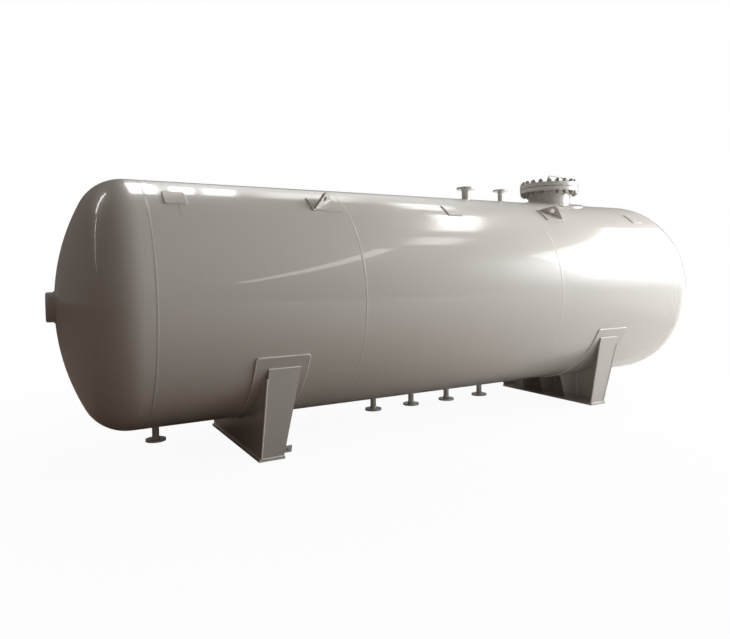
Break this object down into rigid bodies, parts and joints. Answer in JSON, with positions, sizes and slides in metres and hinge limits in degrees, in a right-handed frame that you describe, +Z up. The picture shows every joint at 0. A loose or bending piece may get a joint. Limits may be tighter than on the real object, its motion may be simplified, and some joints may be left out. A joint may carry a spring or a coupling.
{
  "type": "horizontal pressure tank",
  "caption": "Horizontal welded pressure tank with dished heads, bolted manway, flanged nozzles and lifting lugs, standing on two saddles.",
  "frame": {"origin": "on the ground at the centre of the fixed saddle's base plate", "axes": "+X along the tank towards the manway end, +Z up, front side at -Y"},
  "size_m": [6.8734, 2.028, 2.616],
  "materials": {
    "tank_paint": "glossy light grey enamel over welded steel",
    "saddle_paint": "the same light grey enamel, a little duller",
    "gasket_sheet": "dark compressed sheet gasket",
    "fastener_steel": "dull grey studs and nuts, browned in places"
  },
  "bodies": {
    "root": {"shell_left": "tank_paint", "shell_middle": "tank_paint", "shell_right": "tank_paint", "head_left": "tank_paint", "head_right": "tank_paint", "gauge_boss": "tank_paint", "manway_pad": "tank_paint", "manway_neck": "tank_paint", "manway_cover": "tank_paint", "nozzle_top_1": "tank_paint", "nozzle_top_2": "tank_paint", "nozzle_bottom_1": "tank_paint", "nozzle_bottom_2": "tank_paint", "nozzle_bottom_3": "tank_paint", "nozzle_bottom_4": "tank_paint", "nozzle_bottom_5": "tank_paint", "lifting_lug_front_left": "tank_paint", "lifting_lug_front_right": "tank_paint", "lifting_lug_back_left": "tank_paint", "lifting_lug_back_right": "tank_paint", "lug_pad_front_left": "tank_paint", "lug_pad_front_right": "tank_paint", "lug_pad_back_left": "tank_paint", "lug_pad_back_right": "tank_paint", "bracket_pads_front": "tank_paint", "bracket_pads_back": "tank_paint", "manway_handle": "tank_paint", "manway_gasket": "gasket_sheet", "earthing_lug": "saddle_paint", "saddle_fixed_base_plate": "saddle_paint", "saddle_fixed_web": "saddle_paint", "saddle_fixed_end_plate_front": "saddle_paint", "saddle_fixed_end_plate_back": "saddle_paint", "saddle_fixed_ribs": "saddle_paint", "saddle_fixed_wear_pad": "saddle_paint", "saddle_sliding_base_plate": "saddle_paint", "saddle_sliding_web": "saddle_paint", "saddle_sliding_end_plate_front": "saddle_paint", "saddle_sliding_end_plate_back": "saddle_paint", "saddle_sliding_ribs": "saddle_paint", "saddle_sliding_wear_pad": "saddle_paint"}
  },
  "joints": []
}
